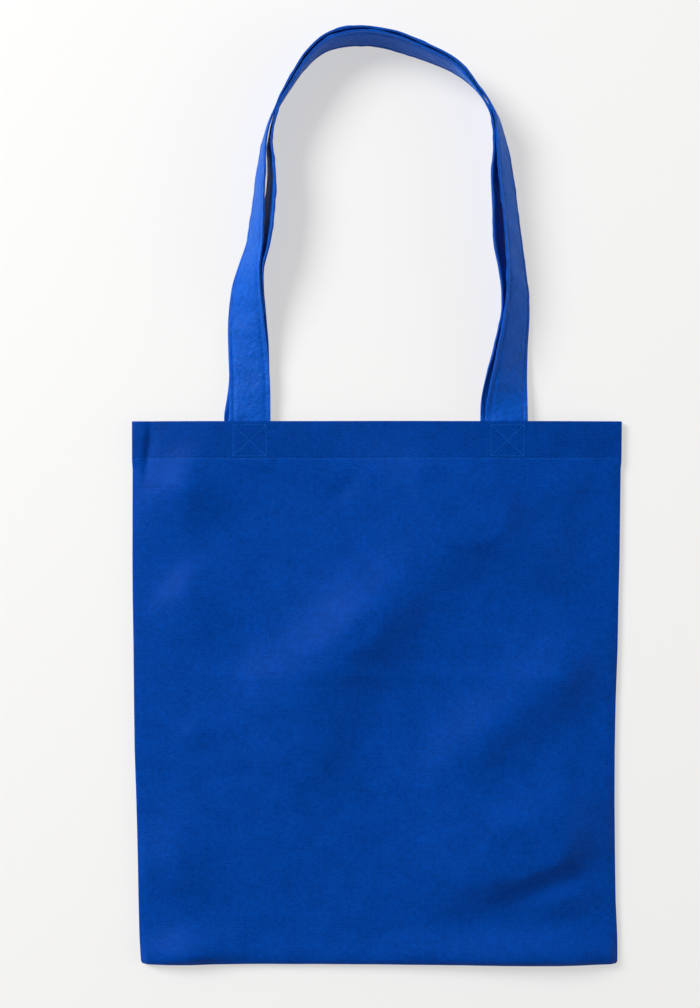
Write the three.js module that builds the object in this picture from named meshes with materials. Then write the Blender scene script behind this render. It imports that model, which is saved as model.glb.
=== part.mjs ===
// Flat shopping bag of non-woven polypropylene, with two long strap handles.
// Millimetres. The bag lies on its back panel: X runs across it, Y from the folded
// bottom to the mouth and on to the handles, Z up from the table.
// The origin is the middle of the back panel, on the table.

import * as THREE from 'three';

// Bag
const MOUTH_WIDTH = 380.5;
const BASE_WIDTH = 373;
const BAG_HEIGHT = 421;
const CLOTH = 0.5;
const BASE_CORNER = 3;

// Folds and seams
const FOLD_THICKNESS = 3;
const EDGE_THICKNESS = 4;
const SHOULDER = 40;
const ALLOWANCE = 9;
const GROOVE_DEPTH = 0.5;
const GROOVE_WIDTH = 0.2;
const CORNER_SHARE = 0.3;

// Hem, folded inside the mouth
const HEM_DEPTH = 30;
const HEM_GAP = 0.3;
const HEM_BUILD = 2 * CLOTH + HEM_GAP;
const ALLOWANCE_END = 3;

// Heights above the bottom fold at which the bag's outline is given
const CLIMB = [0.2, 0.7, FOLD_THICKNESS / 2, 4, 9, 16, 26, SHOULDER, 0.45 * BAG_HEIGHT];

// Handles
const STRAP_WIDTH = 32;
const STRAP_THICKNESS = 1.5;
const HANDLE_SPACING = 199;
const HANDLE_SHIFT = 1;
const HANDLE_RISE = 295.8;
const FRONT_SEWN_DEPTH = 29;
const BACK_SEWN_DEPTH = 34;
const FLAT_START = 5;

// Clearances
const TOUCH = 0.3;
const TABLE_GAP = 0.15;
const MOUTH_GAP = 4.4;

// What follows from them
const BOTTOM_Y = -BAG_HEIGHT / 2;
const MOUTH_Y = BAG_HEIGHT / 2;
const SEWN_BUILD = HEM_BUILD + TOUCH + STRAP_THICKNESS;
const BAG_THICKNESS = 2 * SEWN_BUILD + MOUTH_GAP;
const CLOTH_BLUE = 0x0a3e99;
const STRAP_BLUE = 0x1247a6;

const lerp = THREE.MathUtils.lerp;
const clamp = THREE.MathUtils.clamp;

// Closed solid through a row of rings with equal numbers of points. The flat end caps
// are cut from the first and last rings' own outlines.
function skin(rings, outlines) {
  const count = rings[0].length;
  const points = rings.flat();
  const faces = [];
  for (let row = 0; row < rings.length - 1; row += 1) {
    for (let i = 0; i < count; i += 1) {
      const next = (i + 1) % count;
      const a = row * count + i;
      const b = row * count + next;
      faces.push(a, b + count, b, a, a + count, b + count);
    }
  }
  const last = (rings.length - 1) * count;
  for (const [i, j, k] of THREE.ShapeUtils.triangulateShape(outlines[0], [])) {
    faces.push(i, j, k);
  }
  for (const [i, j, k] of THREE.ShapeUtils.triangulateShape(outlines[1], [])) {
    faces.push(last + k, last + j, last + i);
  }
  const geometry = new THREE.BufferGeometry().setFromPoints(points);
  geometry.setIndex(faces);
  return geometry;
}

// The bag's outer size at a height above the bottom fold

function halfWidth(up) {
  const straight = lerp(BASE_WIDTH, MOUTH_WIDTH, up / BAG_HEIGHT) / 2;
  const missing = clamp(BASE_CORNER - up, 0, BASE_CORNER);
  return straight - BASE_CORNER + Math.sqrt(BASE_CORNER ** 2 - missing ** 2);
}

function shoulderShare(distance) {
  return Math.sin(clamp(distance / SHOULDER, 0, 1) * Math.PI / 2);
}

// Lowest and highest level of the cloth, in the middle and at the side edge
function levels(up, inset) {
  const share = shoulderShare(up);
  const fold = FOLD_THICKNESS / 2;
  const radius = fold - inset;
  const missing = clamp(radius - (up - inset), 0, radius);
  const squeeze = radius - Math.sqrt(radius ** 2 - missing ** 2);
  return {
    low: inset + squeeze,
    edge: lerp(FOLD_THICKNESS, EDGE_THICKNESS, share) - inset - squeeze,
    high: lerp(FOLD_THICKNESS, BAG_THICKNESS, share) - inset - squeeze,
  };
}

// One side edge from the back panel up to the front panel, as [depth inside, level].
// Outside it is two rounded lips with the seam's groove between them. Inside, each
// panel turns back at its lip and both allowances lie flat together.
function lipsEdge(low, edge) {
  const lip = (edge - low) / 4;
  const corner = CORNER_SHARE * lip;
  const seam = low + 2 * lip;
  return [
    [lip, low],
    [corner, low + corner],
    [0, low + lip],
    [corner, seam - corner],
    [GROOVE_DEPTH, seam - GROOVE_WIDTH / 2],
    [GROOVE_DEPTH, seam + GROOVE_WIDTH / 2],
    [corner, seam + corner],
    [0, edge - lip],
    [corner, edge - corner],
    [lip, edge],
  ];
}

function allowanceEdge(low, edge, inset) {
  const seam = (low + edge) / 2;
  const under = seam - CLOTH;
  const over = seam + CLOTH;
  const root = 2 * inset;
  const corner = inset + CORNER_SHARE * inset;
  return [
    [root, low],
    [corner, lerp(low, under, CORNER_SHARE)],
    [inset, (low + under) / 2],
    [root, under],
    [ALLOWANCE, under],
    [ALLOWANCE, over],
    [root, over],
    [inset, (over + edge) / 2],
    [corner, lerp(edge, over, CORNER_SHARE)],
    [root, edge],
  ];
}

function plainEdge(low, edge, inset) {
  const depth = inset + GROOVE_DEPTH * Math.min(1, inset / CLOTH);
  const shares = [0, 0.12, 0.24, 0.36, 0.48, 0.52, 0.64, 0.76, 0.88, 1];
  return shares.map((share) => [depth, lerp(low, edge, share)]);
}

// Shoulder of the front panel, from the side edge in to the flat middle
const SHOULDER_STEPS = [0.15, 0.35, 0.6, 1];

// Ring of the bag's cloth at one height: a side edge, the front panel, the other side
// edge, and straight back along the flat back panel
function bagOutline(up, inset, edgeShape) {
  const { low, edge, high } = levels(up, inset);
  const side = edgeShape(low, edge, inset);
  const lip = side[side.length - 1][0];
  const rise = SHOULDER_STEPS.map((share) => [
    lip + share * SHOULDER,
    lerp(edge, high, shoulderShare(share * SHOULDER)),
  ]);
  const half = halfWidth(Math.max(up - inset, 0));
  const right = [...side, ...rise].map(([depth, z]) => new THREE.Vector2(half - depth, z));
  const left = right.map((p) => new THREE.Vector2(-p.x, p.y)).reverse();
  return [...right, ...left];
}

// The bag is one cut sheet. Its section is followed from the bottom fold up the
// outside, over the mouth, down the hem, under the hem's edge, back up between the two
// layers, and down the inside to the bottom again.
function bagSection() {
  const path = [];
  const add = (up, inset, edgeShape) => path.push({ up, inset, edgeShape });
  const rim = HEM_BUILD / 2;
  const crease = HEM_GAP / 2;
  const rimUp = BAG_HEIGHT - rim;
  const hemUp = BAG_HEIGHT - HEM_DEPTH;

  for (const up of CLIMB) {
    add(up, 0, lipsEdge);
  }
  add(hemUp, 0, lipsEdge);
  add(rimUp, 0, lipsEdge);
  for (const turn of [0.25, 0.5, 0.75, 1]) {
    const angle = turn * Math.PI;
    add(rimUp + rim * Math.sin(angle), rim * (1 - Math.cos(angle)), plainEdge);
  }
  add(hemUp, HEM_BUILD, plainEdge);
  add(hemUp, CLOTH + HEM_GAP, plainEdge);
  add(rimUp, CLOTH + HEM_GAP, plainEdge);
  add(rimUp + crease, CLOTH + crease, plainEdge);
  add(rimUp, CLOTH, plainEdge);
  add(hemUp, CLOTH, plainEdge);
  add(hemUp - ALLOWANCE_END, CLOTH, allowanceEdge);
  for (const up of CLIMB.slice(2).reverse()) {
    add(up, CLOTH, allowanceEdge);
  }
  return path;
}

function bagBody() {
  const path = bagSection();
  const outlines = path.map(({ up, inset, edgeShape }) => bagOutline(up, inset, edgeShape));
  const rings = outlines.map((outline, row) => outline.map(
    (p) => new THREE.Vector3(p.x, BOTTOM_Y + path[row].up, p.y),
  ));
  return skin(rings, [outlines[0], outlines[outlines.length - 1]]);
}

// Route of the handles, from the left leg over the arch to the right leg, at the outer
// edge of the front strap. Both straps leave the mouth flat, turn onto that edge and
// stand on the table, the back one nested inside the front one.
// across, up from the mouth: the front strap's outer edge
// lift: 1 at the height of the sewn end, 0 on the table
// lean: 0 lying flat, 90 standing; nest: how far in the back strap's edge lies
const ROUTE = [
  { across: -115.5, up: 27.5, lift: 0.68, lean: 7, nest: -1.0, backLean: 7 },
  { across: -116.4, up: 53.5, lift: 0.44, lean: 14, nest: 0.8, backLean: 14.5 },
  { across: -116.5, up: 79.5, lift: 0.38, lean: 26, nest: 1.7, backLean: 26.5 },
  { across: -113.6, up: 103.5, lift: 0.3, lean: 40, nest: 2.2, backLean: 41 },
  { across: -108.0, up: 121.5, lift: 0.17, lean: 54, nest: 2.8, backLean: 54.5 },
  { across: -102.4, up: 139.5, lift: 0, lean: 63, nest: 6.1, backLean: 63.5 },
  { across: -98.4, up: 161.5, lift: 0, lean: 69, nest: 10.0, backLean: 70 },
  { across: -95.0, up: 188.5, lift: 0, lean: 74.5, nest: 10.4, backLean: 77.5 },
  { across: -89.8, up: 217.5, lift: 0, lean: 80, nest: 6.0, backLean: 82 },
  { across: -80.9, up: 242.3, lift: 0, lean: 81.5, nest: 2.4, backLean: 82 },
  { across: -69.3, up: 263.1, lift: 0, lean: 82.5, nest: 3.1, backLean: 82.5 },
  { across: -56.6, up: 280.3, lift: 0, lean: 85, nest: 3.3, backLean: 85 },
  { across: -39.6, up: 291.9, lift: 0, lean: 89, nest: 3.3, backLean: 89 },
  { across: -14.5, up: 295.8, lift: 0, lean: 92, nest: 3.2, backLean: 92 },
  { across: 11.0, up: 292.3, lift: 0, lean: 92, nest: 3.1, backLean: 92 },
  { across: 33.0, up: 285.4, lift: 0, lean: 89, nest: 3.1, backLean: 89 },
  { across: 60.4, up: 274.0, lift: 0, lean: 84.5, nest: 3.1, backLean: 84.5 },
  { across: 80.5, up: 256.8, lift: 0, lean: 77, nest: 2.4, backLean: 74.5 },
  { across: 93.8, up: 235.0, lift: 0, lean: 76, nest: 2.3, backLean: 71.5 },
  { across: 101.0, up: 210.5, lift: 0, lean: 68, nest: 3.8, backLean: 70 },
  { across: 105.2, up: 187.5, lift: 0, lean: 63.5, nest: 6.1, backLean: 64 },
  { across: 108.6, up: 161.5, lift: 0, lean: 63, nest: 8.0, backLean: 63 },
  { across: 111.8, up: 137.5, lift: 0, lean: 60.5, nest: 8.6, backLean: 59.5 },
  { across: 115.4, up: 111.5, lift: 0.12, lean: 56, nest: 5.7, backLean: 56 },
  { across: 117.2, up: 85.5, lift: 0.28, lean: 48, nest: 2.9, backLean: 49.5 },
  { across: 115.8, up: 57.5, lift: 0.36, lean: 39.5, nest: 3.1, backLean: 40.5 },
  { across: 115.2, up: 33.5, lift: 0.6, lean: 27, nest: 4.5, backLean: 28 },
];
const BACK_OFFSET = -4.3;
const STEPS_PER_STATION = 3;
const FACE_SHARES = [0, 0.2, 0.4, 0.6, 0.8, 1];
const LIP_GROOVE = 1;

// Section of a strap, folded from a strip with both raw edges turned in: rounded where
// it is folded in half, and two lips with a groove between them at the other edge
function strapOutline() {
  const half = STRAP_THICKNESS / 2;
  const corner = half / 2;
  const across = FACE_SHARES.map((share) => lerp(corner, STRAP_WIDTH - corner, share));
  return [
    [0, -corner],
    ...across.map((u) => [u, -half]),
    [STRAP_WIDTH, -corner],
    [STRAP_WIDTH - LIP_GROOVE, 0],
    [STRAP_WIDTH, corner],
    ...across.map((u) => [u, half]).reverse(),
    [0, corner],
  ].map(([u, v]) => new THREE.Vector2(u, v));
}

// Stations of a strap: the foot is its outer edge, and it leans over towards the
// middle of the arch. inward points to that side.
function stations(isBack) {
  const rest = TABLE_GAP + STRAP_THICKNESS / 2;
  const backLevel = HEM_BUILD + TOUCH + STRAP_THICKNESS / 2;
  const sewnLevel = isBack ? backLevel : BAG_THICKNESS - backLevel;
  const sewnDepth = isBack ? BACK_SEWN_DEPTH : FRONT_SEWN_DEPTH;
  const offset = isBack ? BACK_OFFSET : 0;
  const reach = (HANDLE_SPACING + STRAP_WIDTH) / 2;
  const spread = reach / Math.abs(ROUTE[0].across);
  const growth = HANDLE_RISE / Math.max(...ROUTE.map((station) => station.up));

  const feet = ROUTE.map(({ across, up }) => new THREE.Vector3(
    HANDLE_SHIFT + across * spread, MOUTH_Y + up * growth, 0,
  ));
  const middle = ROUTE.map((station, i) => {
    const before = feet[Math.max(i - 1, 0)];
    const after = feet[Math.min(i + 1, feet.length - 1)];
    const along = after.clone().sub(before).normalize();
    const inward = new THREE.Vector3(along.y, -along.x, 0);
    const foot = feet[i].clone().addScaledVector(inward, isBack ? station.nest : 0);
    foot.z = lerp(rest, sewnLevel, station.lift);
    return { foot, inward, lean: isBack ? station.backLean : station.lean };
  });
  const leg = (side, up) => ({
    foot: new THREE.Vector3(HANDLE_SHIFT + side * reach + offset, MOUTH_Y + up, sewnLevel),
    inward: new THREE.Vector3(-side, 0, 0),
    lean: 0,
  });
  const sewn = (side) => [leg(side, -sewnDepth), leg(side, 0), leg(side, FLAT_START)];
  return [...sewn(-1), ...middle, ...sewn(1).reverse()];
}

// A handle is lofted between the smooth curves of its two edges
function handle(isBack) {
  const outline = strapOutline();
  const all = stations(isBack);
  const edge = (share) => new THREE.CatmullRomCurve3(all.map(({ foot, inward, lean }) => {
    const angle = THREE.MathUtils.degToRad(lean);
    const across = inward.clone().multiplyScalar(Math.cos(angle));
    across.z = Math.sin(angle);
    return foot.clone().addScaledVector(across, share * STRAP_WIDTH);
  }));
  const footEdge = edge(0);
  const topEdge = edge(1);
  const rings = [];
  const steps = (all.length - 1) * STEPS_PER_STATION;
  for (let i = 0; i <= steps; i += 1) {
    const foot = footEdge.getPoint(i / steps);
    const width = topEdge.getPoint(i / steps).sub(foot).normalize();
    const along = footEdge.getTangent(i / steps).add(topEdge.getTangent(i / steps));
    const face = width.clone().cross(along).normalize();
    rings.push(outline.map((p) => foot.clone().addScaledVector(width, p.x)
      .addScaledVector(face, p.y)));
  }
  return skin(rings, [outline, outline]);
}

function cloth(colour) {
  return new THREE.MeshStandardMaterial({ color: colour, roughness: 0.8, metalness: 0 });
}

function piece(name, geometry, colour) {
  const mesh = new THREE.Mesh(geometry, cloth(colour));
  mesh.name = name;
  return mesh;
}

const bag = new THREE.Group();
bag.add(piece('body', bagBody(), CLOTH_BLUE));
bag.add(piece('front_handle', handle(false), STRAP_BLUE));
bag.add(piece('back_handle', handle(true), STRAP_BLUE));

export default bag;
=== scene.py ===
"""Flat shopping bag of non-woven polypropylene, with two strap handles, lying on its
back panel. Metres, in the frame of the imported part: X across the bag, Y from the folded
bottom to the mouth and the handles, Z up from the table. Lengths inside the functions are
in millimetres, and turn into metres where a mesh is written."""

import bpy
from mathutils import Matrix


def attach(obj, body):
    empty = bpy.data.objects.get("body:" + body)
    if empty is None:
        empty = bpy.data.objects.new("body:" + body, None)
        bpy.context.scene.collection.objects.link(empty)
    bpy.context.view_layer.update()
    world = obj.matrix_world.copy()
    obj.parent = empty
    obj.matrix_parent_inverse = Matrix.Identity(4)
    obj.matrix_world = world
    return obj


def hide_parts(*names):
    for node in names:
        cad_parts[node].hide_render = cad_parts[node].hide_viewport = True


bl_info = {
    "name": "Flat shopping bag",
    "version": (1, 0, 0),
    "blender": (4, 5, 0),
    "location": "3D View > Sidebar > Bag",
    "description": "Builds a folded and sewn shopping bag around its packed frame",
    "category": "Object",
}

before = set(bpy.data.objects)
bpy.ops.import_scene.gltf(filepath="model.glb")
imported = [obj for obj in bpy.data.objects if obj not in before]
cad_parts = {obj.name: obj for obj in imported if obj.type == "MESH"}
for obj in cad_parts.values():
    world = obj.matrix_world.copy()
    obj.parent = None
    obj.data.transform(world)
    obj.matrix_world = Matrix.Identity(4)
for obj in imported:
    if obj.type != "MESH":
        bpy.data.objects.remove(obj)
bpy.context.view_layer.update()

import math

import bmesh
import bpy
import numpy as np
from bpy.props import FloatProperty, FloatVectorProperty, PointerProperty
from mathutils import Matrix, Vector, noise

MM = 0.001
BODY = "root"

# Bag, in millimetres: its corners, folded edges, seams and hems
MOUTH_Y = 210.5
BASE_CORNER = 3.0
FOLD_THICKNESS = 3.0
EDGE_THICKNESS = 4.0
HEM_EDGE_THICKNESS = 5.4
SHOULDER = 40.0
LIP_REACH = 7.0
LIP_INSET = 1.05
ALLOWANCE = 9.0
SIDE_TURN = 2
BOTTOM_TURN = 2
LAYER_GAP = 0.2
SEAM_GAP = 0.02
HEM_SEAM_GAP = 0.08
HEM_BLEND = 7.0

# Outer face of the front panel, in millimetres: its level at the side edges and in the
# middle, the roll over the bottom fold, and the rise to the mouth
FORM_INSET = 1.0
PANEL_LEVELS = (4.6, 5.3)
PANEL_DOME = (0, 90)
ROLL_UP, ROLL_SOFTNESS, ROLL_HEIGHT = 7, 11, 1.2
BOTTOM_ROUND = (-4, 4)
MOUTH_RISE = (62, 0)
MOUTH_LEVELS = (6.0, 9.3)
MOUTH_DOME = (-5, 60)
HIGHEST = 18.0

# How much of the folds is left at the side edges and at the mouth, and the fine
# unevenness that lies under them: height, scale and seed
FOLDS_AT_EDGE, FOLD_FADE = 0.2, (-12, 50)
FOLDS_AT_MOUTH = 0.3
RIPPLE = (0.45, 42, 3.0)
CRINKLE = (0.16, 15, 7.0)

# Sewn strap ends that lift the front panel, in millimetres: from where to where the lift
# fades at their sides and past their lower end, and its level and fall down the panel
PATCH_SIDE = (14.5, 24.0)
PATCH_END = (-2, 14)
PATCH_LEVEL, PATCH_SLOPE = 9.75, 0.036

# Rows and columns of the bag's mesh: where each stretch starts and the size of its cells
# in millimetres, and how many rows or steps it has
FOLD_UP, FOLD_DROP, FOLD_STEPS = 2.4, 2.1, 10
LOW_UP, LOW_ROWS = 14, 10
PANEL_ROWS = 116
FINE_DOWN, FINE_ROWS = 42, 42
BACK_ROWS, BACK_FINE_DOWN, BACK_FINE_ROWS = 44, 34, 14
RIM_STEPS = 8
LIP_STEPS = 9
SEAM_STEPS = 3
EDGE_BAND, PATCH_BAND = 14, (78, 120)
PANEL_CELL, PATCH_CELL, EDGE_CELL = 3.6, 1.7, 1.2

# Sewing, in millimetres
STITCH_PITCH = 2.4
STITCH_LENGTH = 1.9
STITCH_RADIUS = 0.24
STITCH_REACH = 0.8
STITCH_SINK = 0.03
STITCH_LIFT = 0.02
BACK_STITCH_LEVEL = 0.04
HEM_ROW_DOWN = 29
HEM_ROW_PULL, HEM_ROW_SOFTNESS = 0.22, 0.9
HEM_ROW_END = 3
STRAP_ROW_END = 3.0
BOX_ABOVE_ROW = 2
BOX_BELOW_MOUTH = 3
BOX_SPARE = 0.3

# Handles, in millimetres: where they are sewn, and the lines of a folded strap's mesh
HANDLE_SPACING = 199.0
HANDLE_SHIFT = 1.0
BACK_OFFSET = -4.3
FRONT_SEWN_DEPTH = 29.0
BACK_SEWN_DEPTH = 34.0
FLAT_START = 5.0
SEWN_LEVEL_BACK = 2.35
SEWN_LEVEL_FRONT = 7.7
SEWN_DIP = 0.9
STRAP_REST = 0.9
STRAP_STEP = 1.7
ROW_LINES = (-0.9, -0.45, 0, 0.45, 0.9)
FACE_LINES = (7.5, 10.3, 13.2, 16, 18.8, 21.7, 24.5)
HIDDEN_LINES = (3.5, 10.0, 17.0, 24.0)
FOLD_SPARE, LIP_SPARE, RAW_EDGE = 0.7, 0.7, 1.5
FOLD_TURNS, LIP_TURNS = 9, 6

# Unevenness of a strap, in millimetres: its swelling between the rows of stitches, the
# pull of the rows, and the height and scale of its puckers, creases and bends
PUFF, PUFF_FULLNESS = 0.28, 0.6
ROW_PULL, ROW_SOFTNESS = 0.5, 0.75
PUCKER, PUCKER_SCALE, PUCKER_STRETCH = 0.42, 6.5, 0.6
CALM_WIDTH, CALM_SHARE = 11, 0.5
CREASE, CREASE_SCALE, CREASE_STRETCH, CREASE_SHIFT = 0.9, 12, 0.35, 4
BEND, BEND_SCALE = 0.4, 26
FRONT_SEED, BACK_SEED = 23.0, 11.0

# Cloth, in metres: the pitch of its embossed points, how far a hem's double cloth stops
# short, and how much thinner than its share of a strap each layer is
POINT_PITCH = 0.0034
HEM_TURN = 0.0008
STRIP_SHRINK = 0.00003
SHARP_ANGLE = 50

# Finish of the cloth and the thread: scale, detail and roughness of each noise, and the
# darkest and lightest share of the colour
CLOUD = (55.0, 3.0, 0.55)
BLOTCH = (240.0, 3.0, 0.6)
FIBRE = (800.0, 2.0, 0.6)
STRANDS, STRAND_STRETCH = (1.0, 3.0, 0.65), (260.0, 1300.0, 1.0)
TWIST = (2200.0, 2.0, 0.6)
SINGLE_TONES, DOUBLE_TONES, THREAD_TONES = (0.62, 1.42), (0.55, 1.24), (0.7, 1.35)
SHEEN_ROUGHNESS, SHEEN_TINT = 0.45, (0.12, 0.4, 1.0, 1.0)

# How far each side edge runs off its straight line: up from the bottom, outward on the
# left, outward on the right
EDGE_BOW = [
    (0, -2.6, 0.8), (20, -1.8, 0.3), (50, -1.4, -1.4), (90, -1.0, -2.3), (125, -0.4, -2.9),
    (165, 0.6, -3.1), (205, 0.8, -2.7), (245, 0.8, -1.6), (285, 1.1, -1.2), (315, 1.0, -0.7),
    (390, 0.2, -0.4), (421, 0.0, -0.4),
]

# Folds and swellings of the front panel. Each is a soft ridge: its middle (across, along),
# the way it runs in degrees, half its length, its softness on the left and on the right of
# that way, and its height. A height below zero is a valley.
FOLDS = [
    (-14, 48, 44, 60, 31, 30, 6.8),
    (-84, 4, 36, 32, 26, 34, 2.4),
    (-50, -38, 58, 38, 36, 27, 3.2),
    (64, 148, 50, 38, 90, 40, 9.0),
    (118, 112, 48, 30, 34, 40, 3.2),
    (82, -34, 42, 56, 26, 28, 4.4),
    (146, 18, 34, 36, 30, 26, 4.2),
    (58, -94, 58, 30, 26, 22, 1.6),
    (118, -122, 21, 72, 48, 24, 8.0),
    (150, -158, 16, 36, 9, 13, 2.2),
    (140, -203, 0, 120, 18, 9, 5.0),
    (-164, -128, 50, 28, 26, 28, 4.0),
    (-160, -203, 6, 44, 18, 9, 5.0),
    (-150, 72, 46, 28, 17, 34, 2.8),
    (-154, 162, 42, 34, 20, 33, 5.4),
    (-144, -32, 50, 9, 8, 10, 0.9),
    (-26, 158, 42, 15, 7, 6, -0.8),
    (24, 160, 75, 15, 7, 7, -0.5),
    (146, 160, 60, 20, 30, 20, 2.0),
    (-177, 194, 84, 20, 3, 4, -5.5),
    (0, 13, 0, 190, 7, 6, 0.34),
]

# Route of the handles, as in the part but for a little of the back strap's lie: the front
# strap's outer edge from the left leg over the arch to the right leg. Each point has its
# place across, up from the mouth, its lift (1 at the sewn end, 0 on the table), the lean
# of the front strap, how far in the back strap's edge lies, and the back strap's lean.
ROUTE = [
    (-115.5, 27.5, 0.68, 7, -1.0, 7),
    (-116.4, 53.5, 0.44, 14, 0.8, 14.5),
    (-116.5, 79.5, 0.38, 26, 1.7, 26.5),
    (-113.6, 103.5, 0.3, 40, 2.2, 41),
    (-108.0, 121.5, 0.17, 54, 2.8, 54.5),
    (-102.4, 139.5, 0, 63, 6.1, 63.5),
    (-98.4, 161.5, 0, 69, 8.4, 70),
    (-95.0, 188.5, 0, 74.5, 9.2, 76.5),
    (-89.8, 217.5, 0, 80, 4.4, 81.5),
    (-80.9, 242.3, 0, 81.5, 2.1, 81.5),
    (-69.3, 263.1, 0, 82.5, 3.1, 82.5),
    (-56.6, 280.3, 0, 85, 3.3, 85),
    (-39.6, 291.9, 0, 89, 3.3, 89),
    (-14.5, 295.8, 0, 92, 3.2, 92),
    (11.0, 292.3, 0, 92, 3.1, 92),
    (33.0, 285.4, 0, 89, 3.1, 89),
    (60.4, 274.0, 0, 84.5, 3.1, 84.5),
    (80.5, 256.8, 0, 77, 2.4, 77),
    (93.8, 235.0, 0, 76, 2.3, 75.5),
    (101.0, 210.5, 0, 68, 3.8, 70),
    (105.2, 187.5, 0, 63.5, 6.1, 64),
    (108.6, 161.5, 0, 63, 8.0, 63),
    (111.8, 137.5, 0, 60.5, 8.6, 59.5),
    (115.4, 111.5, 0.12, 56, 5.7, 56),
    (117.2, 85.5, 0.28, 48, 2.9, 49.5),
    (115.8, 57.5, 0.36, 39.5, 3.1, 40.5),
    (115.2, 33.5, 0.6, 27, 4.5, 28),
]

# Stage, in metres
KEY_SIZE, KEY_PLACE = 1.5, (-2.05, 1.6, 1.95)
LOW_FILL_SIZE, LOW_FILL_PLACE = 1.6, (2.6, -0.1, 0.75)
LAMP_AIM = (0.0, 0.1, 0.0)
FLOOR_RADIUS, FLOOR_MIDDLE = 6.0, (0, 0.15, -0.0003)
PAPER = (0.885, 0.88, 0.875, 1.0)
GLOW = (0.9, 0.9, 0.895, 1.0)
ROOM_LIGHT = (1.0, 0.965, 0.94, 1.0)
BACKDROP = (0.91, 0.91, 0.905, 1.0)
HORIZON_SHARE, OVERHEAD_SHARE, OVERHEAD_RISE = 3.0, 0.2, 0.9
CAMERA_PLACE = (-0.02103, 0.1464, 1.09)
CAMERA_LENS = 50.0
CAMERA_SENSOR = 36.0


# Sizes and colours that a user would change

class BagSizes(bpy.types.PropertyGroup):
    """Sizes of the bag's body"""
    mouth_width: FloatProperty(
        name="Mouth width", description="Width of the bag at its mouth",
        default=0.3805, unit="LENGTH")
    base_width: FloatProperty(
        name="Base width", description="Width of the bag at its bottom fold",
        default=0.373, unit="LENGTH")
    height: FloatProperty(
        name="Height", description="From the bottom fold to the mouth",
        default=0.421, unit="LENGTH")
    cloth: FloatProperty(
        name="Cloth", description="Thickness of the bag's cloth",
        default=0.0005, unit="LENGTH")
    hem_depth: FloatProperty(
        name="Hem depth", description="Depth of the hem folded inside the mouth",
        default=0.030, unit="LENGTH")
    swell: FloatProperty(
        name="Swell", description="How high the front panel's soft folds stand",
        default=2.1, subtype="FACTOR")


class StrapSizes(bpy.types.PropertyGroup):
    """Sizes of the two handles"""
    width: FloatProperty(
        name="Width", description="Width of a folded strap",
        default=0.032, unit="LENGTH")
    thickness: FloatProperty(
        name="Thickness", description="Thickness of a folded strap",
        default=0.0015, unit="LENGTH")
    stitch_inset: FloatProperty(
        name="Stitch inset", description="From a strap's edge to its row of stitches",
        default=0.0035, unit="LENGTH")


class ClothColours(bpy.types.PropertyGroup):
    """Colours of the cloth and the thread"""
    bag: FloatVectorProperty(
        name="Bag", description="Colour of the bag's cloth",
        default=(0.0003, 0.047, 0.31), subtype="COLOR", size=3, min=0, max=1)
    strap: FloatVectorProperty(
        name="Strap", description="Colour of the straps' cloth",
        default=(0.0004, 0.076, 0.455), subtype="COLOR", size=3, min=0, max=1)
    thread: FloatVectorProperty(
        name="Thread", description="Colour of the sewing thread",
        default=(0.004, 0.11, 0.5), subtype="COLOR", size=3, min=0, max=1)


class StageSettings(bpy.types.PropertyGroup):
    """Floor, lights and camera"""
    key: FloatProperty(
        name="Key light", description="Power of the soft light from the upper left",
        default=127.0, unit="POWER")
    low_fill: FloatProperty(
        name="Low fill light", description="Power of the weak soft light from the right",
        default=17.0, unit="POWER")
    fill: FloatProperty(
        name="Fill light", description="Strength of the even light all round",
        default=0.27)
    shadow_share: FloatProperty(
        name="Shadow share", description="How much of the floor's shadow the camera sees",
        default=0.41, subtype="FACTOR")


def mm(value):
    return value / MM


def lerp(a, b, share):
    return a + (b - a) * share


def smooth(low, high, value):
    share = np.clip((value - low) / (high - low), 0, 1)
    return share * share * (3 - 2 * share)


# Shader expressions

class Socket:
    """A node's output. Maths on it is written as plain expressions."""

    def __init__(self, finish, socket):
        self.finish = finish
        self.socket = socket

    def maths(self, operation, *values):
        return self.finish.node("ShaderNodeMath", {"operation": operation}, *values)

    def beside(self, name):
        """Another output of the same node."""
        return Socket(self.finish, self.socket.node.outputs[name])

    def sine(self):
        return self.maths("SINE", self)

    def larger(self, other):
        return self.maths("MAXIMUM", self, other)

    def smaller(self, other):
        return self.maths("MINIMUM", self, other)

    def __lt__(self, other):
        return self.maths("LESS_THAN", self, other)

    def __add__(self, other):
        return self.maths("ADD", self, other)

    def __radd__(self, other):
        return self.maths("ADD", other, self)

    def __sub__(self, other):
        return self.maths("SUBTRACT", self, other)

    def __rsub__(self, other):
        return self.maths("SUBTRACT", other, self)

    def __mul__(self, other):
        return self.maths("MULTIPLY", self, other)

    def __rmul__(self, other):
        return self.maths("MULTIPLY", other, self)


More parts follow.
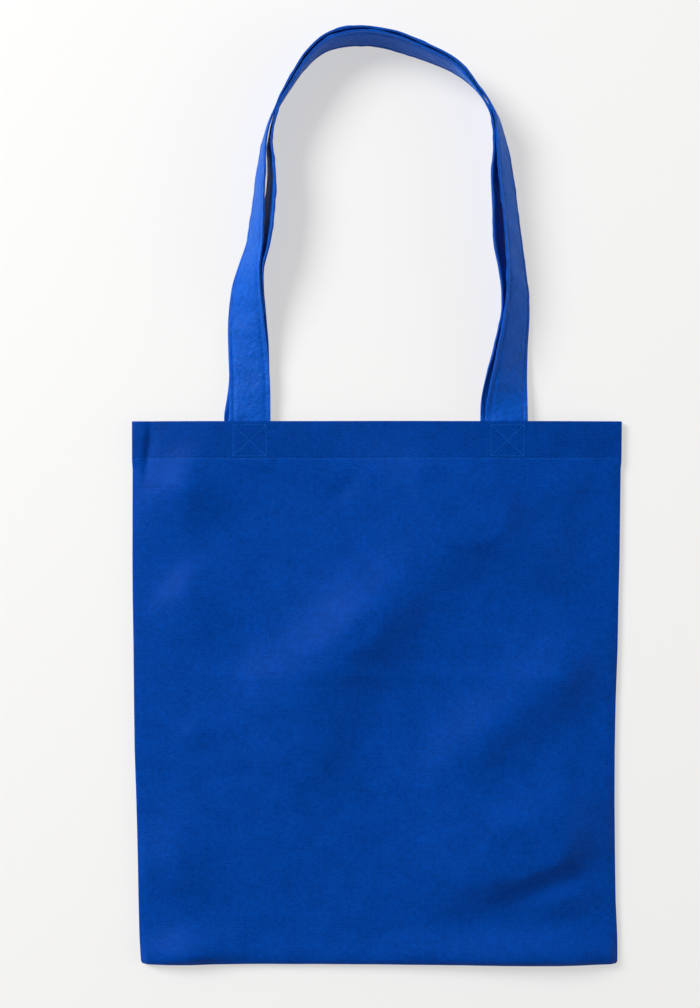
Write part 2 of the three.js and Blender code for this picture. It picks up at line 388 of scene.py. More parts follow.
class Finish:
    """The nodes of a material or of the world, under construction."""

    def __init__(self, owner, output):
        owner.use_nodes = True
        self.owner = owner
        self.tree = owner.node_tree
        self.tree.nodes.clear()
        self.output = self.tree.nodes.new(output)

    def fill(self, socket, value):
        if isinstance(value, Socket):
            self.tree.links.new(value.socket, socket)
        else:
            socket.default_value = value

    def node(self, kind, settings=None, *values, **named):
        """Adds a node: its settings first, then its sockets in order or by name."""
        made = self.tree.nodes.new(kind)
        for key, value in (settings or {}).items():
            setattr(made, key, value)
        for socket, value in zip(made.inputs, values):
            self.fill(socket, value)
        for key, value in named.items():
            self.fill(made.inputs[key.replace("_", " ")], value)
        return Socket(self, made.outputs[0])

    def mix(self, share, a, b):
        """Colour mix from a to b."""
        made = self.tree.nodes.new("ShaderNodeMix")
        made.data_type = "RGBA"
        factor, first, second = made.inputs[0], made.inputs[6], made.inputs[7]
        self.fill(factor, share)
        self.fill(first, a)
        self.fill(second, b)
        return Socket(self, made.outputs[2])

    def bump(self, height):
        """A bump whose height is in metres."""
        return self.node("ShaderNodeBump", None, Strength=1.0, Distance=1.0, Height=height)

    def close(self, shader):
        self.tree.links.new(shader.socket, self.output.inputs["Surface"])
        return self.owner


def new_material(name):
    return Finish(bpy.data.materials.new(name), "ShaderNodeOutputMaterial")


def toned(finish, share, colour, tones):
    """The colour from its darkest to its lightest tone."""
    dark, light = ([part * tone for part in colour] + [1.0] for tone in tones)
    return finish.mix(share, dark, light)


def noise_value(finish, place, kind):
    """Noise of one kind: its scale, detail and roughness."""
    scale, detail, rough = kind
    return finish.node("ShaderNodeTexNoise", None, Vector=place, Scale=scale,
                       Detail=detail, Roughness=rough)


def cloth_finish(name, colour, gloss, sheen, relief, length=0.0, hem=0.0):
    """Non-woven polypropylene: thin fibres pressed together at a lattice of fine points.
    A hem at both ends of the length is double cloth, and lets less light through."""
    finish = new_material(name)
    flat = finish.node("ShaderNodeUVMap", {"uv_map": "cloth"})
    across = finish.node("ShaderNodeSeparateXYZ", None, flat)
    along = across.beside("Y")

    lattice = 2 * math.pi / POINT_PITCH
    rising = ((across + along) * lattice).sine()
    falling = ((across - along) * lattice).sine()
    points = (rising * falling).larger(0.0)

    cloud = noise_value(finish, flat, CLOUD) - 0.5
    blotch = noise_value(finish, flat, BLOTCH) - 0.5
    fibre = noise_value(finish, flat, FIBRE) - 0.5
    stretched = finish.node("ShaderNodeMapping", None, flat, Scale=STRAND_STRETCH)
    strands = noise_value(finish, stretched, STRANDS) - 0.5

    light = cloud * 0.5 + blotch * 0.7 + fibre + strands * 0.9
    share = finish.node("ShaderNodeMath", {"operation": "ADD", "use_clamp": True},
                        light + points * -0.28, 0.54)
    base = toned(finish, share, colour, SINGLE_TONES)
    if hem:
        double = along.smaller(length - along) < hem
        base = finish.mix(double, base, toned(finish, share, colour, DOUBLE_TONES))

    height = (points * -0.00007 + fibre * 0.00022 + strands * 0.00016
              + blotch * 0.0003 * relief + cloud * 0.0005 * relief)
    rough = 0.5 + fibre * 0.3 + points * -0.1
    return finish.close(finish.node(
        "ShaderNodeBsdfPrincipled", None, Base_Color=base, Roughness=rough,
        Normal=finish.bump(height), Specular_IOR_Level=gloss,
        Sheen_Weight=sheen, Sheen_Roughness=SHEEN_ROUGHNESS, Sheen_Tint=SHEEN_TINT))


def thread_finish(name, colour):
    """Twisted sewing thread."""
    finish = new_material(name)
    place = finish.node("ShaderNodeTexCoord").beside("Object")
    twist = noise_value(finish, place, TWIST)
    base = toned(finish, twist, colour, THREAD_TONES)
    return finish.close(finish.node(
        "ShaderNodeBsdfPrincipled", None, Base_Color=base, Roughness=0.45 + twist * 0.15,
        Normal=finish.bump(twist * 0.00006), Specular_IOR_Level=0.08))


# Meshes

def cloth_grid(rows, columns, points, flat):
    """A sheet of cloth as a grid of cells, laid at points, with its flat cut as its UV map."""
    bm = bmesh.new()
    bmesh.ops.create_grid(bm, x_segments=columns - 1, y_segments=rows - 1, size=0.5)
    bm.verts.ensure_lookup_table()
    places = []
    for vert in bm.verts:
        column = round((vert.co.x + 0.5) * (columns - 1))
        row = round((vert.co.y + 0.5) * (rows - 1))
        places.append((row, column))
    layer = bm.loops.layers.uv.new("cloth")
    for face in bm.faces:
        for loop in face.loops:
            row, column = places[loop.vert.index]
            loop[layer].uv = flat[row, column] * MM
    for vert, (row, column) in zip(bm.verts, places):
        vert.co = points[row, column] * MM
    return bm


def finished(name, bm, material):
    """Turns a mesh under construction into a piece of the model."""
    mesh = bpy.data.meshes.new(name)
    bm.to_mesh(mesh)
    bm.free()
    piece = bpy.data.objects.new(name, mesh)
    bpy.context.scene.collection.objects.link(piece)
    mesh.materials.append(material)
    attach(piece, BODY)
    return piece


def thicken(piece, thickness):
    """Gives a sheet its thickness, half to each side, and shades it smooth."""
    solid = piece.modifiers.new("Cloth thickness", "SOLIDIFY")
    solid.thickness = thickness
    solid.offset = 0.0
    solid.use_even_offset = False
    bpy.context.view_layer.objects.active = piece
    with bpy.context.temp_override(object=piece, active_object=piece):
        bpy.ops.object.modifier_apply(modifier=solid.name)
    mesh = piece.data
    mesh.polygons.foreach_set("use_smooth", [True] * len(mesh.polygons))
    mesh.set_sharp_from_angle(angle=math.radians(SHARP_ANGLE))


def stitch_rows(name, rows, material):
    """Thread lying on the cloth. Each row is a list of (place, way along, face normal)."""
    bm = bmesh.new()
    bmesh.ops.create_uvsphere(bm, u_segments=6, v_segments=4, radius=1.0)
    bmesh.ops.scale(bm, verts=bm.verts[:], vec=(STITCH_RADIUS, STITCH_RADIUS,
                                                STITCH_LENGTH / 2))
    bead = bpy.data.meshes.new("bead")
    bm.to_mesh(bead)
    bm.clear()
    for row in rows:
        for place, along, normal in row:
            z = Vector(along).normalized()
            x = Vector(normal).normalized()
            y = z.cross(x).normalized()
            x = y.cross(z)
            turn = Matrix((x, y, z)).transposed().to_4x4()
            copy = bead.copy()
            copy.transform(Matrix.Scale(MM, 4) @ Matrix.Translation(Vector(place)) @ turn)
            bm.from_mesh(copy)
            bpy.data.meshes.remove(copy)
    bpy.data.meshes.remove(bead)
    for face in bm.faces:
        face.smooth = True
    return finished(name, bm, material)


# The bag's front panel as a height over the table

def half_width(sizes, up, side):
    """From the middle line to a side edge: side -1 is the left one, 1 the right one."""
    straight = lerp(mm(sizes.base_width), mm(sizes.mouth_width), up / mm(sizes.height)) / 2
    missing = np.clip(BASE_CORNER - up, 0, BASE_CORNER)
    ups, left, right = np.array(EDGE_BOW, float).T
    bow = np.interp(up, ups, left if side < 0 else right)
    return straight - BASE_CORNER + np.sqrt(BASE_CORNER ** 2 - missing ** 2) + bow


def fold_height(across, along):
    """Height of all the folds and swellings at a place on the front panel."""
    total = 0.0
    for x, y, angle, reach, left, right, height in FOLDS:
        turn = math.radians(angle)
        dx, dy = across - x, along - y
        run = (dx * math.cos(turn) + dy * math.sin(turn)) / reach
        side = dy * math.cos(turn) - dx * math.sin(turn)
        share = np.clip(side / (left + right) + 0.5, 0, 1)
        width = lerp(right, left, share * share * (3 - 2 * share))
        total = total + height * np.exp(-run ** 2 - (side / width) ** 2)
    return total


def soft_noise(across, along, scale, seed):
    """Smooth noise from -1 to 1, the same in every run."""
    flat_across, flat_along = np.broadcast_arrays(across, along)
    found = [noise.noise(Vector((x / scale, y / scale, seed)))
             for x, y in zip(flat_across.ravel(), flat_along.ravel())]
    return np.array(found).reshape(flat_across.shape)


def edge_level(sizes, up):
    """Height of the front lip: higher at the hem, where its allowances lie double."""
    hem_start = mm(sizes.height) - mm(sizes.hem_depth)
    share = smooth(hem_start - HEM_BLEND, hem_start, up)
    return lerp(EDGE_THICKNESS, HEM_EDGE_THICKNESS, share)


def bottom_share(up):
    return np.sin(np.clip(up / SHOULDER, 0, 1) * math.pi / 2)


def patch_share(across, down):
    """1 over a strap's sewn end, 0 away from it."""
    total = 0
    for side in (-1, 1):
        middle = HANDLE_SHIFT + side * HANDLE_SPACING / 2
        total = total + 1 - smooth(*PATCH_SIDE, np.abs(across - middle))
    near, far = PATCH_END
    return total * (1 - smooth(FRONT_SEWN_DEPTH + near, FRONT_SEWN_DEPTH + far, down))


def uneven(across, along, kind):
    """Fine unevenness of one kind: its height, scale and seed."""
    height, scale, seed = kind
    return height * soft_noise(across, along, scale, seed)


def front_level(sizes, across, up):
    """Height of the front panel's outer face, in millimetres."""
    height = mm(sizes.height)
    down = height - up
    along = up - height / 2
    left, right = half_width(sizes, up, -1), half_width(sizes, up, 1)
    inside = np.where(across < 0, left + across, right - across) - FORM_INSET

    level = lerp(*PANEL_LEVELS, smooth(*PANEL_DOME, inside))
    level = level + ROLL_HEIGHT * np.exp(-((up - ROLL_UP) / ROLL_SOFTNESS) ** 2)
    near_mouth = smooth(*MOUTH_RISE, down)
    level = lerp(level, lerp(*MOUTH_LEVELS, smooth(*MOUTH_DOME, inside)), near_mouth)

    folds = fold_height(across, along) + uneven(across, along, RIPPLE)
    folds = folds + uneven(across, along, CRINKLE)
    folds = folds * lerp(FOLDS_AT_EDGE, 1.0, smooth(*FOLD_FADE, inside))
    level = level + sizes.swell * (folds * lerp(1.0, FOLDS_AT_MOUTH, near_mouth))

    sewn = PATCH_LEVEL - PATCH_SLOPE * np.clip(down, 0, FRONT_SEWN_DEPTH)
    level = lerp(level, np.maximum(level, sewn), patch_share(across, down))
    level = level - HEM_ROW_PULL * np.exp(-((down - HEM_ROW_DOWN) / HEM_ROW_SOFTNESS) ** 2)
    level = lerp(FOLD_THICKNESS, level, smooth(*BOTTOM_ROUND, up))
    edge = lerp(FOLD_THICKNESS, edge_level(sizes, up), bottom_share(up))
    share = np.sin(np.clip(inside / LIP_REACH, 0, 1) * math.pi / 2)
    return lerp(edge, np.minimum(level, HIGHEST), share)


def cell_lines(low, high, step):
    count = max(1, round((high - low) / step))
    return list(np.linspace(low, high, count + 1)[:-1])


def across_lines(half):
    """Places across the panel: close together at the edges and at the sewn strap ends."""
    edge = half - EDGE_BAND
    patch_in, patch_out = PATCH_BAND
    right = (cell_lines(0, patch_in, PANEL_CELL) + cell_lines(patch_in, patch_out, PATCH_CELL)
             + cell_lines(patch_out, edge, PANEL_CELL) + cell_lines(edge, half, EDGE_CELL)
             + [half])
    return [-x for x in reversed(right)] + right[1:]


def rim_turn(rim_up, start, rim, side):
    """The cloth's turn over the mouth's rim: a half circle that starts at a depth and
    runs inward, or outward where the rim's radius is below zero."""
    return [(rim_up + abs(rim) * math.sin(turn), start + rim * (1 - math.cos(turn)), side)
            for turn in np.linspace(0, math.pi, RIM_STEPS)[1:]]


def bag_rows(sizes):
    """The section of the folded sheet, from the front hem's cut edge over the rim, down
    the front panel, round the bottom fold and up the back panel to its hem: the height
    above the bottom, the depth below the outer face, and the side (1 front, 0 back)."""
    cloth, height, hem = mm(sizes.cloth), mm(sizes.height), mm(sizes.hem_depth)
    outer = cloth / 2
    inner = outer + cloth + LAYER_GAP
    rim = (inner - outer) / 2
    rim_up = height - rim - outer
    hem_ups = np.linspace(height - hem, rim_up, RIM_STEPS)
    fine_up, back_fine_up = height - FINE_DOWN, height - BACK_FINE_DOWN

    front = [(up, inner, 1) for up in hem_ups]
    front += rim_turn(rim_up, inner, -rim, 1)
    for start, end, count in ((rim_up, fine_up, FINE_ROWS), (fine_up, LOW_UP, PANEL_ROWS),
                              (LOW_UP, FOLD_UP, LOW_ROWS)):
        front += [(up, outer, 1) for up in np.linspace(start, end, count)[1:]]
    fold = [(FOLD_UP - FOLD_DROP * math.sin(turn), outer, (1 + math.cos(turn)) / 2)
            for turn in np.linspace(0, math.pi, FOLD_STEPS)[1:-1]]
    back = [(up, outer, 0) for up in np.linspace(FOLD_UP, back_fine_up, BACK_ROWS)]
    back += [(up, outer, 0) for up in np.linspace(back_fine_up, rim_up, BACK_FINE_ROWS)[1:]]
    back += rim_turn(rim_up, outer, rim, 0)
    back += [(up, inner, 0) for up in np.linspace(rim_up, height - hem, RIM_STEPS)[1:]]
    return front + fold + back


def side_turn(sizes, up, depth, front):
    """Turn of the cloth round a side lip: its radius, and the height of the allowance."""
    edge = lerp(FOLD_THICKNESS, edge_level(sizes, up), bottom_share(up))
    cloth = mm(sizes.cloth)
    hem_start = mm(sizes.height) - mm(sizes.hem_depth)
    hem_share = smooth(hem_start - HEM_BLEND, hem_start, up)
    apart = cloth / 2 + SEAM_GAP + hem_share * (depth - cloth / 2 + HEM_SEAM_GAP)
    outside = edge - depth if front else depth
    inside = edge / 2 + (apart if front else -apart)
    return abs(outside - inside) / 2, inside


def side_lip(half, start, centre_line, reach):
    """One side's turn of cloth: round the lip, then in along the seam. Runs outward."""
    radius, inside = centre_line
    turns = np.linspace(0, math.pi, LIP_STEPS)[1:]
    places = [(half + radius * math.sin(t), lerp(start, inside, (1 - math.cos(t)) / 2))
              for t in turns]
    return places + [(half - reach * k / SEAM_STEPS, inside)
                     for k in range(1, SEAM_STEPS + 1)]


def bag_sheet(sizes):
    """Points of the folded sheet and its flat cut."""
    half_mouth = mm(sizes.mouth_width) / 2
    panel = np.array(across_lines(half_mouth)) / half_mouth
    points, flat = [], []
    run, last = 0.0, None
    cloth = mm(sizes.cloth)
    for up, depth, side in bag_rows(sizes):
        radius, inside = side_turn(sizes, up, depth, side >= 0.5)
        left, right = (half_width(sizes, max(up, 0), way) - cloth / 2 - LIP_INSET
                       for way in (-1, 1))
        across = panel * np.where(panel < 0, left, right)
        height = up if side == 1 else FOLD_UP
        top = front_level(sizes, across, np.full(across.shape, float(height))) - depth
        level = lerp(depth, top, side)
        reach = ALLOWANCE - depth
        lips = [np.array(side_lip(half, start, (radius, inside), reach))
                for half, start in ((left, level[0]), (right, level[-1]))]
        xs = np.concatenate([-lips[0][::-1, 0], across, lips[1][:, 0]])
        zs = np.concatenate([lips[0][::-1, 1], level, lips[1][:, 1]])
        ys = np.full(xs.shape, up - mm(sizes.height) / 2)
        line = np.stack([xs, ys, zs], axis=1)
        points.append(line)
        middle = len(xs) // 2
        if last is not None:
            run += float(np.linalg.norm(line[middle] - last))
        last = line[middle]
        around = np.concatenate([[0], np.cumsum(np.hypot(np.diff(xs), np.diff(zs)))])
        flat.append(np.stack([around - around[middle], np.full(xs.shape, run)], axis=1))
    return np.array(points), np.array(flat)


# Handles

def catmull(points, places):
    """Centripetal curve through the points, at places counted in points."""
    shortest = 1e-4
    before = 2 * points[0] - points[1]
    after = 2 * points[-1] - points[-2]
    all_points = np.vstack([before, points, after])
    found = []
    for place in places:
        i = min(int(place), len(points) - 2)
        t = place - i
        p0, p1, p2, p3 = all_points[i:i + 4]
        d0, d1, d2 = (max(np.linalg.norm(b - a) ** 0.5, shortest)
                      for a, b in ((p0, p1), (p1, p2), (p2, p3)))
        m1 = ((p1 - p0) / d0 - (p2 - p0) / (d0 + d1) + (p2 - p1) / d1) * d1
        m2 = ((p2 - p1) / d1 - (p3 - p1) / (d1 + d2) + (p3 - p2) / d2) * d1
        c2 = -3 * p1 + 3 * p2 - 2 * m1 - m2
        c3 = 2 * p1 - 2 * p2 + m1 + m2
        found.append(p1 + m1 * t + c2 * t * t + c3 * t ** 3)
    return np.array(found)


def strap_stations(is_back, width):
    """Both edges of a strap at the points of its route, with its sewn ends."""
    sewn_level = SEWN_LEVEL_BACK if is_back else SEWN_LEVEL_FRONT
    sewn_depth = BACK_SEWN_DEPTH if is_back else FRONT_SEWN_DEPTH
    offset = BACK_OFFSET if is_back else 0.0
    reach = (HANDLE_SPACING + width) / 2
    spread = reach / abs(ROUTE[0][0])
    feet = np.array([(HANDLE_SHIFT + r[0] * spread, MOUTH_Y + r[1], 0) for r in ROUTE])
    edges = []
    for i, (_, _, lift, lean, nest, back_lean) in enumerate(ROUTE):
        way = feet[min(i + 1, len(feet) - 1)] - feet[max(i - 1, 0)]
        way = way / np.linalg.norm(way)
        inward = np.array([way[1], -way[0], 0.0])
        foot = feet[i] + inward * (nest if is_back else 0)
        foot[2] = lerp(STRAP_REST, sewn_level, lift)
        angle = math.radians(back_lean if is_back else lean)
        edges.append((foot, foot + width * (inward * math.cos(angle)
                                            + np.array([0, 0, math.sin(angle)]))))
    ends = []
    for side in (-1, 1):
        for up in (-sewn_depth, 0, FLAT_START):
            level = sewn_level - (SEWN_DIP if up < 0 and not is_back else 0)
            foot = np.array([HANDLE_SHIFT + side * reach + offset, MOUTH_Y + up, level])
            ends.append((foot, foot + np.array([-side * width, 0, 0])))
    stations = ends[:3] + edges + ends[:2:-1]
    return np.array([s[0] for s in stations]), np.array([s[1] for s in stations])


def strap_profile(width, thickness, inset):
    """The folded strip's middle line across the strap: from one raw edge inside, out to
    its lip, over one face, round the fold, over the other face, round that lip and in
    to the other raw edge. Gives (from the fold edge, off the middle plane, face)."""
    layer = thickness / 4
    outer, inner = 1.5 * layer, 0.5 * layer
    lip = (outer - inner) / 2
    far = width - lip - layer / 2
    near = outer + layer / 2
    rows = [inset + line for line in ROW_LINES]
    face = [near, near + FOLD_SPARE, *rows, *FACE_LINES,
            *(width - row for row in reversed(rows)), far - LIP_SPARE, far]
    hidden = [*HIDDEN_LINES, far - RAW_EDGE, far]
    path = [(u, inner, 0) for u in hidden]
    turn = np.linspace(0, math.pi, LIP_TURNS)[1:-1]
    middle = (outer + inner) / 2
    path += [(far + lip * math.sin(t), middle - lip * math.cos(t), 0) for t in turn]
    path += [(u, outer, 1) for u in reversed(face)]
    path += [(near - outer * math.sin(t), outer * math.cos(t), 0)
             for t in np.linspace(0, math.pi, FOLD_TURNS)[1:-1]]
    path += [(u, -outer, -1) for u in face]
    path += [(far + lip * math.sin(t), -middle - lip * math.cos(t), 0) for t in turn]
    path += [(u, -inner, 0) for u in reversed(hidden)]
    return path


def strap_frames(is_back, width, step):
    """Foot, way across, face normal and length run at close places along a strap."""
    feet, tops = strap_stations(is_back, width)
    gaps = np.linalg.norm(np.diff(feet + tops, axis=0), axis=1) / 2
    places = []
    for i, gap in enumerate(gaps):
        count = max(2, round(gap / step))
        places += [i + k / count for k in range(count)]
    places.append(len(gaps))
    foot = catmull(feet, places)
    top = catmull(tops, places)
    across = top - foot
    across /= np.linalg.norm(across, axis=1)[:, None]
    along = np.gradient(foot, axis=0) + np.gradient(top, axis=0)
    normal = np.cross(across, along)
    normal /= np.linalg.norm(normal, axis=1)[:, None]
    steps = np.linalg.norm(np.diff((foot + top) / 2, axis=0), axis=1)
    run = np.concatenate([[0], np.cumsum(steps)])
    return foot, across, normal, run


def strap_puff(u, run, width, inset, seed):
    """How far a strap's face stands off its plane: full between the stitch rows, pulled
    in along them, and slightly puckered and creased."""
    between = np.clip((u - inset) / (width - 2 * inset), 0, 1)
    puff = PUFF * (4 * between * (1 - between)) ** PUFF_FULLNESS
    for row in (inset, width - inset):
        puff = puff - ROW_PULL * np.exp(-((u - row) / ROW_SOFTNESS) ** 2)
    pucker = soft_noise(u * PUCKER_STRETCH, run, PUCKER_SCALE, seed) * PUCKER
    crease = CREASE * soft_noise(u * CREASE_STRETCH + CREASE_SHIFT, run, CREASE_SCALE,
                                 seed + 2)
    calm = np.exp(-((u - width / 2) / CALM_WIDTH) ** 2) * CALM_SHARE
    return puff + crease + pucker * (1 - calm)


class Strap:
    """Where a strap lies: its frames, its bends and its uneven faces."""

    def __init__(self, is_back, sizes):
        self.width, self.thickness = mm(sizes.width), mm(sizes.thickness)
        self.inset = mm(sizes.stitch_inset)
        frames = strap_frames(is_back, self.width, STRAP_STEP)
        self.foot, self.across, self.normal, self.run = frames
        self.seed = BACK_SEED if is_back else FRONT_SEED
        self.bend = BEND * soft_noise(self.run, self.run * 0, BEND_SCALE, self.seed + 5)

    def puff(self, u, face):
        line = np.full(self.run.shape, u)
        return strap_puff(line, self.run, self.width, self.inset, self.seed + face)

    def points(self):
        """Points of the folded strap and its flat cut."""
        points, flat = [], []
        around = 0.0
        last = None
        for u, off, face in strap_profile(self.width, self.thickness, self.inset):
            v_line = np.full(self.run.shape, off) + self.bend
            if face:
                v_line = v_line + face * self.puff(u, face)
            if last is not None:
                around += math.hypot(u - last[0], off - last[1])
            last = (u, off)
            points.append(self.foot + self.across * u + self.normal * v_line[:, None])
            flat.append(np.stack([np.full(self.run.shape, around), self.run], axis=1))
        return np.array(points).transpose(1, 0, 2), np.array(flat).transpose(1, 0, 2)

    def stitches(self):
        """Rows of stitches along both edges, on both faces."""
        places = np.arange(STRAP_ROW_END, self.run[-1] - STRAP_ROW_END, STITCH_PITCH)
        rows = []
        for face in (1, -1):
            for u in (self.inset, self.width - self.inset):
                off = self.thickness / 2 - STITCH_SINK + self.puff(u, face)
                line = (self.foot + self.across * u
                        + self.normal * (face * off + self.bend)[:, None])
                at = [np.interp(places, self.run, line[:, k]) for k in range(3)]
                up = [np.interp(places, self.run, face * self.normal[:, k])
                      for k in range(3)]
                at, up = np.stack(at, axis=1), np.stack(up, axis=1)
                rows.append(list(zip(at, np.gradient(at, axis=0), up)))
        return rows


# Stitches on the bag

def surface_row(sizes, start, end, back=False):
    """Stitches in a straight line over a panel, from start to end as (across, along)."""
    start, end = np.array(start, float), np.array(end, float)
    length = np.linalg.norm(end - start)
    count = max(2, round(length / STITCH_PITCH))
    row = []
    way = (end - start) / length
    for k in range(count):
        middle = start + (end - start) * ((k + 0.5) / count)
        pair = np.stack([middle - way * STITCH_REACH, middle + way * STITCH_REACH])
        if back:
            levels = np.array([BACK_STITCH_LEVEL, BACK_STITCH_LEVEL])
            normal = (0, 0, -1)
        else:
            up = pair[:, 1] + mm(sizes.height) / 2
            levels = front_level(sizes, pair[:, 0], up) + STITCH_LIFT
            normal = (0, 0, 1)
        place = (middle[0], middle[1], levels.mean())
        along = (pair[1, 0] - pair[0, 0], pair[1, 1] - pair[0, 1], levels[1] - levels[0])
        row.append((place, along, normal))
    return row


def box_rows(sizes, left, right, low, high, back=False):
    """A sewn box with a cross in it."""
    corners = [(left, low), (right, low), (right, high), (left, high)]
    lines = list(zip(corners, corners[1:] + corners[:1]))
    lines += [(corners[0], corners[2]), (corners[1], corners[3])]
    return [surface_row(sizes, a, b, back) for a, b in lines]


# Operators

class BAG_OT_body(bpy.types.Operator):
    """Build the bag's body from one folded sheet of cloth"""
    bl_idname = "bag.body"
    bl_label = "Bag body"

    def execute(self, context):
        sizes = context.scene.bag_sizes
        colours = context.scene.cloth_colours
        points, flat = bag_sheet(sizes)
        bm = cloth_grid(points.shape[0], points.shape[1], points, flat)
        material = cloth_finish("bag cloth", colours.bag, 0.03, 0.0, 1.0,
                                flat[-1, 0, 1] * MM, 2 * sizes.hem_depth - HEM_TURN)
        bag = finished("bag_cloth", bm, material)
        thicken(bag, sizes.cloth)
        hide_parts("body")
        width = mm(sizes.mouth_width) + 2 * (ALLOWANCE + SIDE_TURN)
        length = 2 * (mm(sizes.height) + mm(sizes.hem_depth)) + BOTTOM_TURN
        width * MM
        length * MM
        return {"FINISHED"}


class BAG_OT_handles(bpy.types.Operator):
    """Build both handles, each folded from one strip of cloth"""
    bl_idname = "bag.handles"
    bl_label = "Handles"

    def execute(self, context):
        sizes = context.scene.strap_sizes
        colours = context.scene.cloth_colours
        material = cloth_finish("strap cloth", colours.strap, 0.08, 0.5, 3.0)
        for name, node, is_back in (("front_strap", "front_handle", False),
                                    ("back_strap", "back_handle", True)):
            points, flat = Strap(is_back, sizes).points()
            bm = cloth_grid(points.shape[0], points.shape[1], points, flat)
            strap = finished(name, bm, material)
            thicken(strap, sizes.thickness / 4 - STRIP_SHRINK)
            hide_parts(node)
            strip = flat[0, -1, 0] * MM
            length = flat[-1, 0, 1] * MM
        return {"FINISHED"}


class BAG_OT_stitching(bpy.types.Operator):
    """Sew the hem, the strap ends and both edges of the straps"""
    bl_idname = "bag.stitching"
    bl_label = "Stitching"

    def execute(self, context):
        sizes = context.scene.bag_sizes
        straps = context.scene.strap_sizes
        material = thread_finish("sewing thread", context.scene.cloth_colours.thread)
        hem_y = MOUTH_Y - HEM_ROW_DOWN
        half = mm(sizes.mouth_width) / 2 - HEM_ROW_END
        rows = [surface_row(sizes, (-half, hem_y), (half, hem_y)),
                surface_row(sizes, (-half, hem_y), (half, hem_y), back=True)]
        stitch_rows("hem_stitching", rows, material)
        span = mm(straps.width) / 2 - mm(straps.stitch_inset) + BOX_SPARE
        low, high = hem_y + BOX_ABOVE_ROW, MOUTH_Y - BOX_BELOW_MOUTH
        rows = []
        for side in (-1, 1):
            middle = HANDLE_SHIFT + side * HANDLE_SPACING / 2
            rows += box_rows(sizes, middle - span, middle + span, low, high)
            middle += BACK_OFFSET
            rows += box_rows(sizes, middle - span, middle + span, low, high, back=True)
        stitch_rows("box_stitching", rows, material)
        for name, is_back in (("front_strap_stitching", False),
                              ("back_strap_stitching", True)):
            stitch_rows(name, Strap(is_back, straps).stitches(), material)
        return {"FINISHED"}


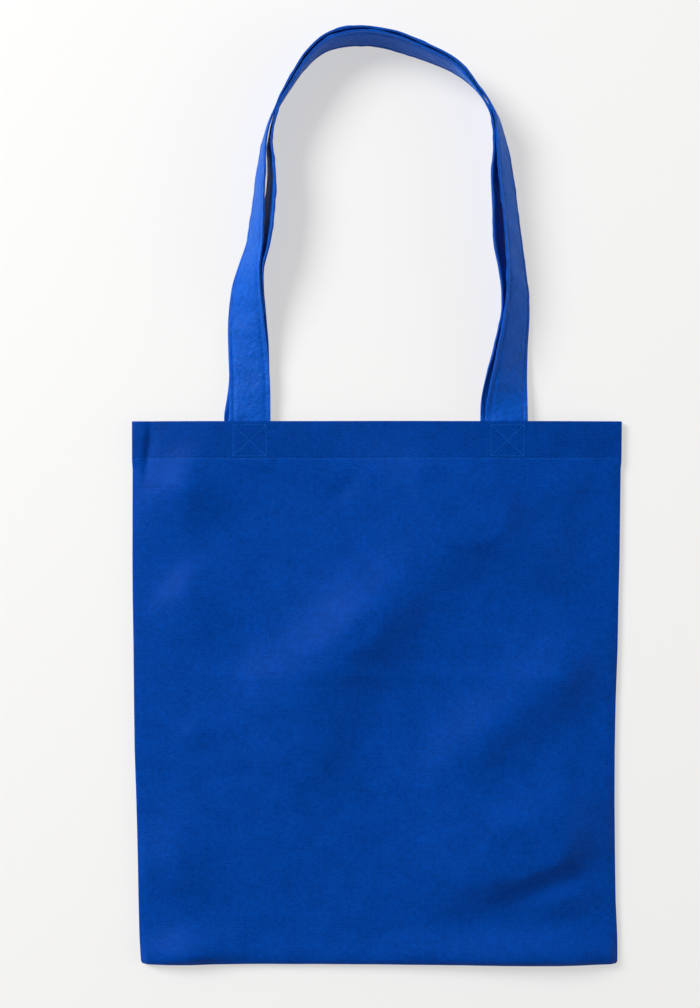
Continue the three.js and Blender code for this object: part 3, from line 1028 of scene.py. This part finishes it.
class BAG_OT_stage(bpy.types.Operator):
    """Set up the pale floor, the soft studio light and the camera"""
    bl_idname = "bag.stage"
    bl_label = "Stage"

    def execute(self, context):
        settings = context.scene.stage_settings
        scene = context.scene
        scene.view_settings.view_transform = "Standard"
        self.floor(settings)
        self.world(scene, settings)
        self.lamp(scene, "key", settings.key, KEY_SIZE, KEY_PLACE)
        self.lamp(scene, "low fill", settings.low_fill, LOW_FILL_SIZE, LOW_FILL_PLACE)
        self.camera(scene)
        return {"FINISHED"}

    def seen(self, finish):
        """1 where the camera sees the surface, directly or in a reflection."""
        camera = finish.node("ShaderNodeLightPath")
        glossy = camera.beside("Is Glossy Ray")
        return camera.larger(glossy).larger(camera.beside("Is Transmission Ray"))

    def floor(self, settings):
        bm = bmesh.new()
        bmesh.ops.create_circle(bm, cap_ends=True, segments=64, radius=FLOOR_RADIUS)
        bmesh.ops.translate(bm, verts=bm.verts[:], vec=FLOOR_MIDDLE)
        mesh = bpy.data.meshes.new("floor")
        bm.to_mesh(mesh)
        bm.free()
        floor = bpy.data.objects.new("floor", mesh)
        bpy.context.scene.collection.objects.link(floor)
        finish = new_material("pale floor")
        paper = finish.node("ShaderNodeBsdfDiffuse", None, PAPER)
        glow = finish.node("ShaderNodeEmission", None, GLOW, 1.0)
        share = self.seen(finish) * (1 - settings.shadow_share)
        mesh.materials.append(finish.close(
            finish.node("ShaderNodeMixShader", None, share, paper, glow)))

    def world(self, scene, settings):
        """Even light from the walls of a pale room, weaker from straight above."""
        room = Finish(bpy.data.worlds.new("studio"), "ShaderNodeOutputWorld")
        way = room.node("ShaderNodeTexCoord")
        rise = room.node("ShaderNodeSeparateXYZ", None, way).beside("Z")
        strength = room.node(
            "ShaderNodeMapRange", None, Value=rise, From_Min=0.0, From_Max=OVERHEAD_RISE,
            To_Min=settings.fill * HORIZON_SHARE, To_Max=settings.fill * OVERHEAD_SHARE)
        light = room.node("ShaderNodeBackground", None, ROOM_LIGHT, strength)
        backdrop = room.node("ShaderNodeBackground", None, BACKDROP)
        camera = room.node("ShaderNodeLightPath")
        scene.world = room.close(
            room.node("ShaderNodeMixShader", None, camera, light, backdrop))

    def lamp(self, scene, name, power, size, place):
        light = bpy.data.lights.new(name, "AREA")
        light.shape = "DISK"
        light.size = size
        light.energy = power
        lamp = bpy.data.objects.new(name, light)
        lamp.location = place
        way = Vector(LAMP_AIM) - Vector(place)
        lamp.rotation_euler = way.to_track_quat("-Z", "Y").to_euler()
        scene.collection.objects.link(lamp)

    def camera(self, scene):
        data = bpy.data.cameras.new("camera")
        data.sensor_fit = "VERTICAL"
        data.sensor_height = CAMERA_SENSOR
        data.sensor_width = CAMERA_SENSOR
        data.lens = CAMERA_LENS
        camera = bpy.data.objects.new("camera", data)
        camera.location = CAMERA_PLACE
        scene.collection.objects.link(camera)
        scene.camera = camera


class BAG_PT_panel(bpy.types.Panel):
    """Sizes, colours and steps of the bag"""
    bl_label = "Shopping bag"
    bl_space_type = "VIEW_3D"
    bl_region_type = "UI"
    bl_category = "Bag"

    def draw(self, context):
        scene = context.scene
        for name in ("bag_sizes", "strap_sizes", "cloth_colours", "stage_settings"):
            box = self.layout.box()
            group = getattr(scene, name)
            for key in group.__annotations__:
                box.prop(group, key)
        for step in STEPS:
            self.layout.operator(step.bl_idname)


GROUPS = {
    "bag_sizes": BagSizes,
    "strap_sizes": StrapSizes,
    "cloth_colours": ClothColours,
    "stage_settings": StageSettings,
}
STEPS = (BAG_OT_stage, BAG_OT_body, BAG_OT_handles, BAG_OT_stitching)


def register():
    for group in GROUPS.values():
        bpy.utils.register_class(group)
    for step in STEPS:
        bpy.utils.register_class(step)
    bpy.utils.register_class(BAG_PT_panel)
    for name, group in GROUPS.items():
        setattr(bpy.types.Scene, name, PointerProperty(type=group))


def unregister():
    for name in GROUPS:
        delattr(bpy.types.Scene, name)
    for kind in (BAG_PT_panel, *reversed(STEPS), *reversed(list(GROUPS.values()))):
        bpy.utils.unregister_class(kind)


def main():
    register()
    bpy.ops.bag.stage()
    bpy.ops.bag.body()
    bpy.ops.bag.handles()
    bpy.ops.bag.stitching()


if __name__ == "__main__":
    main()
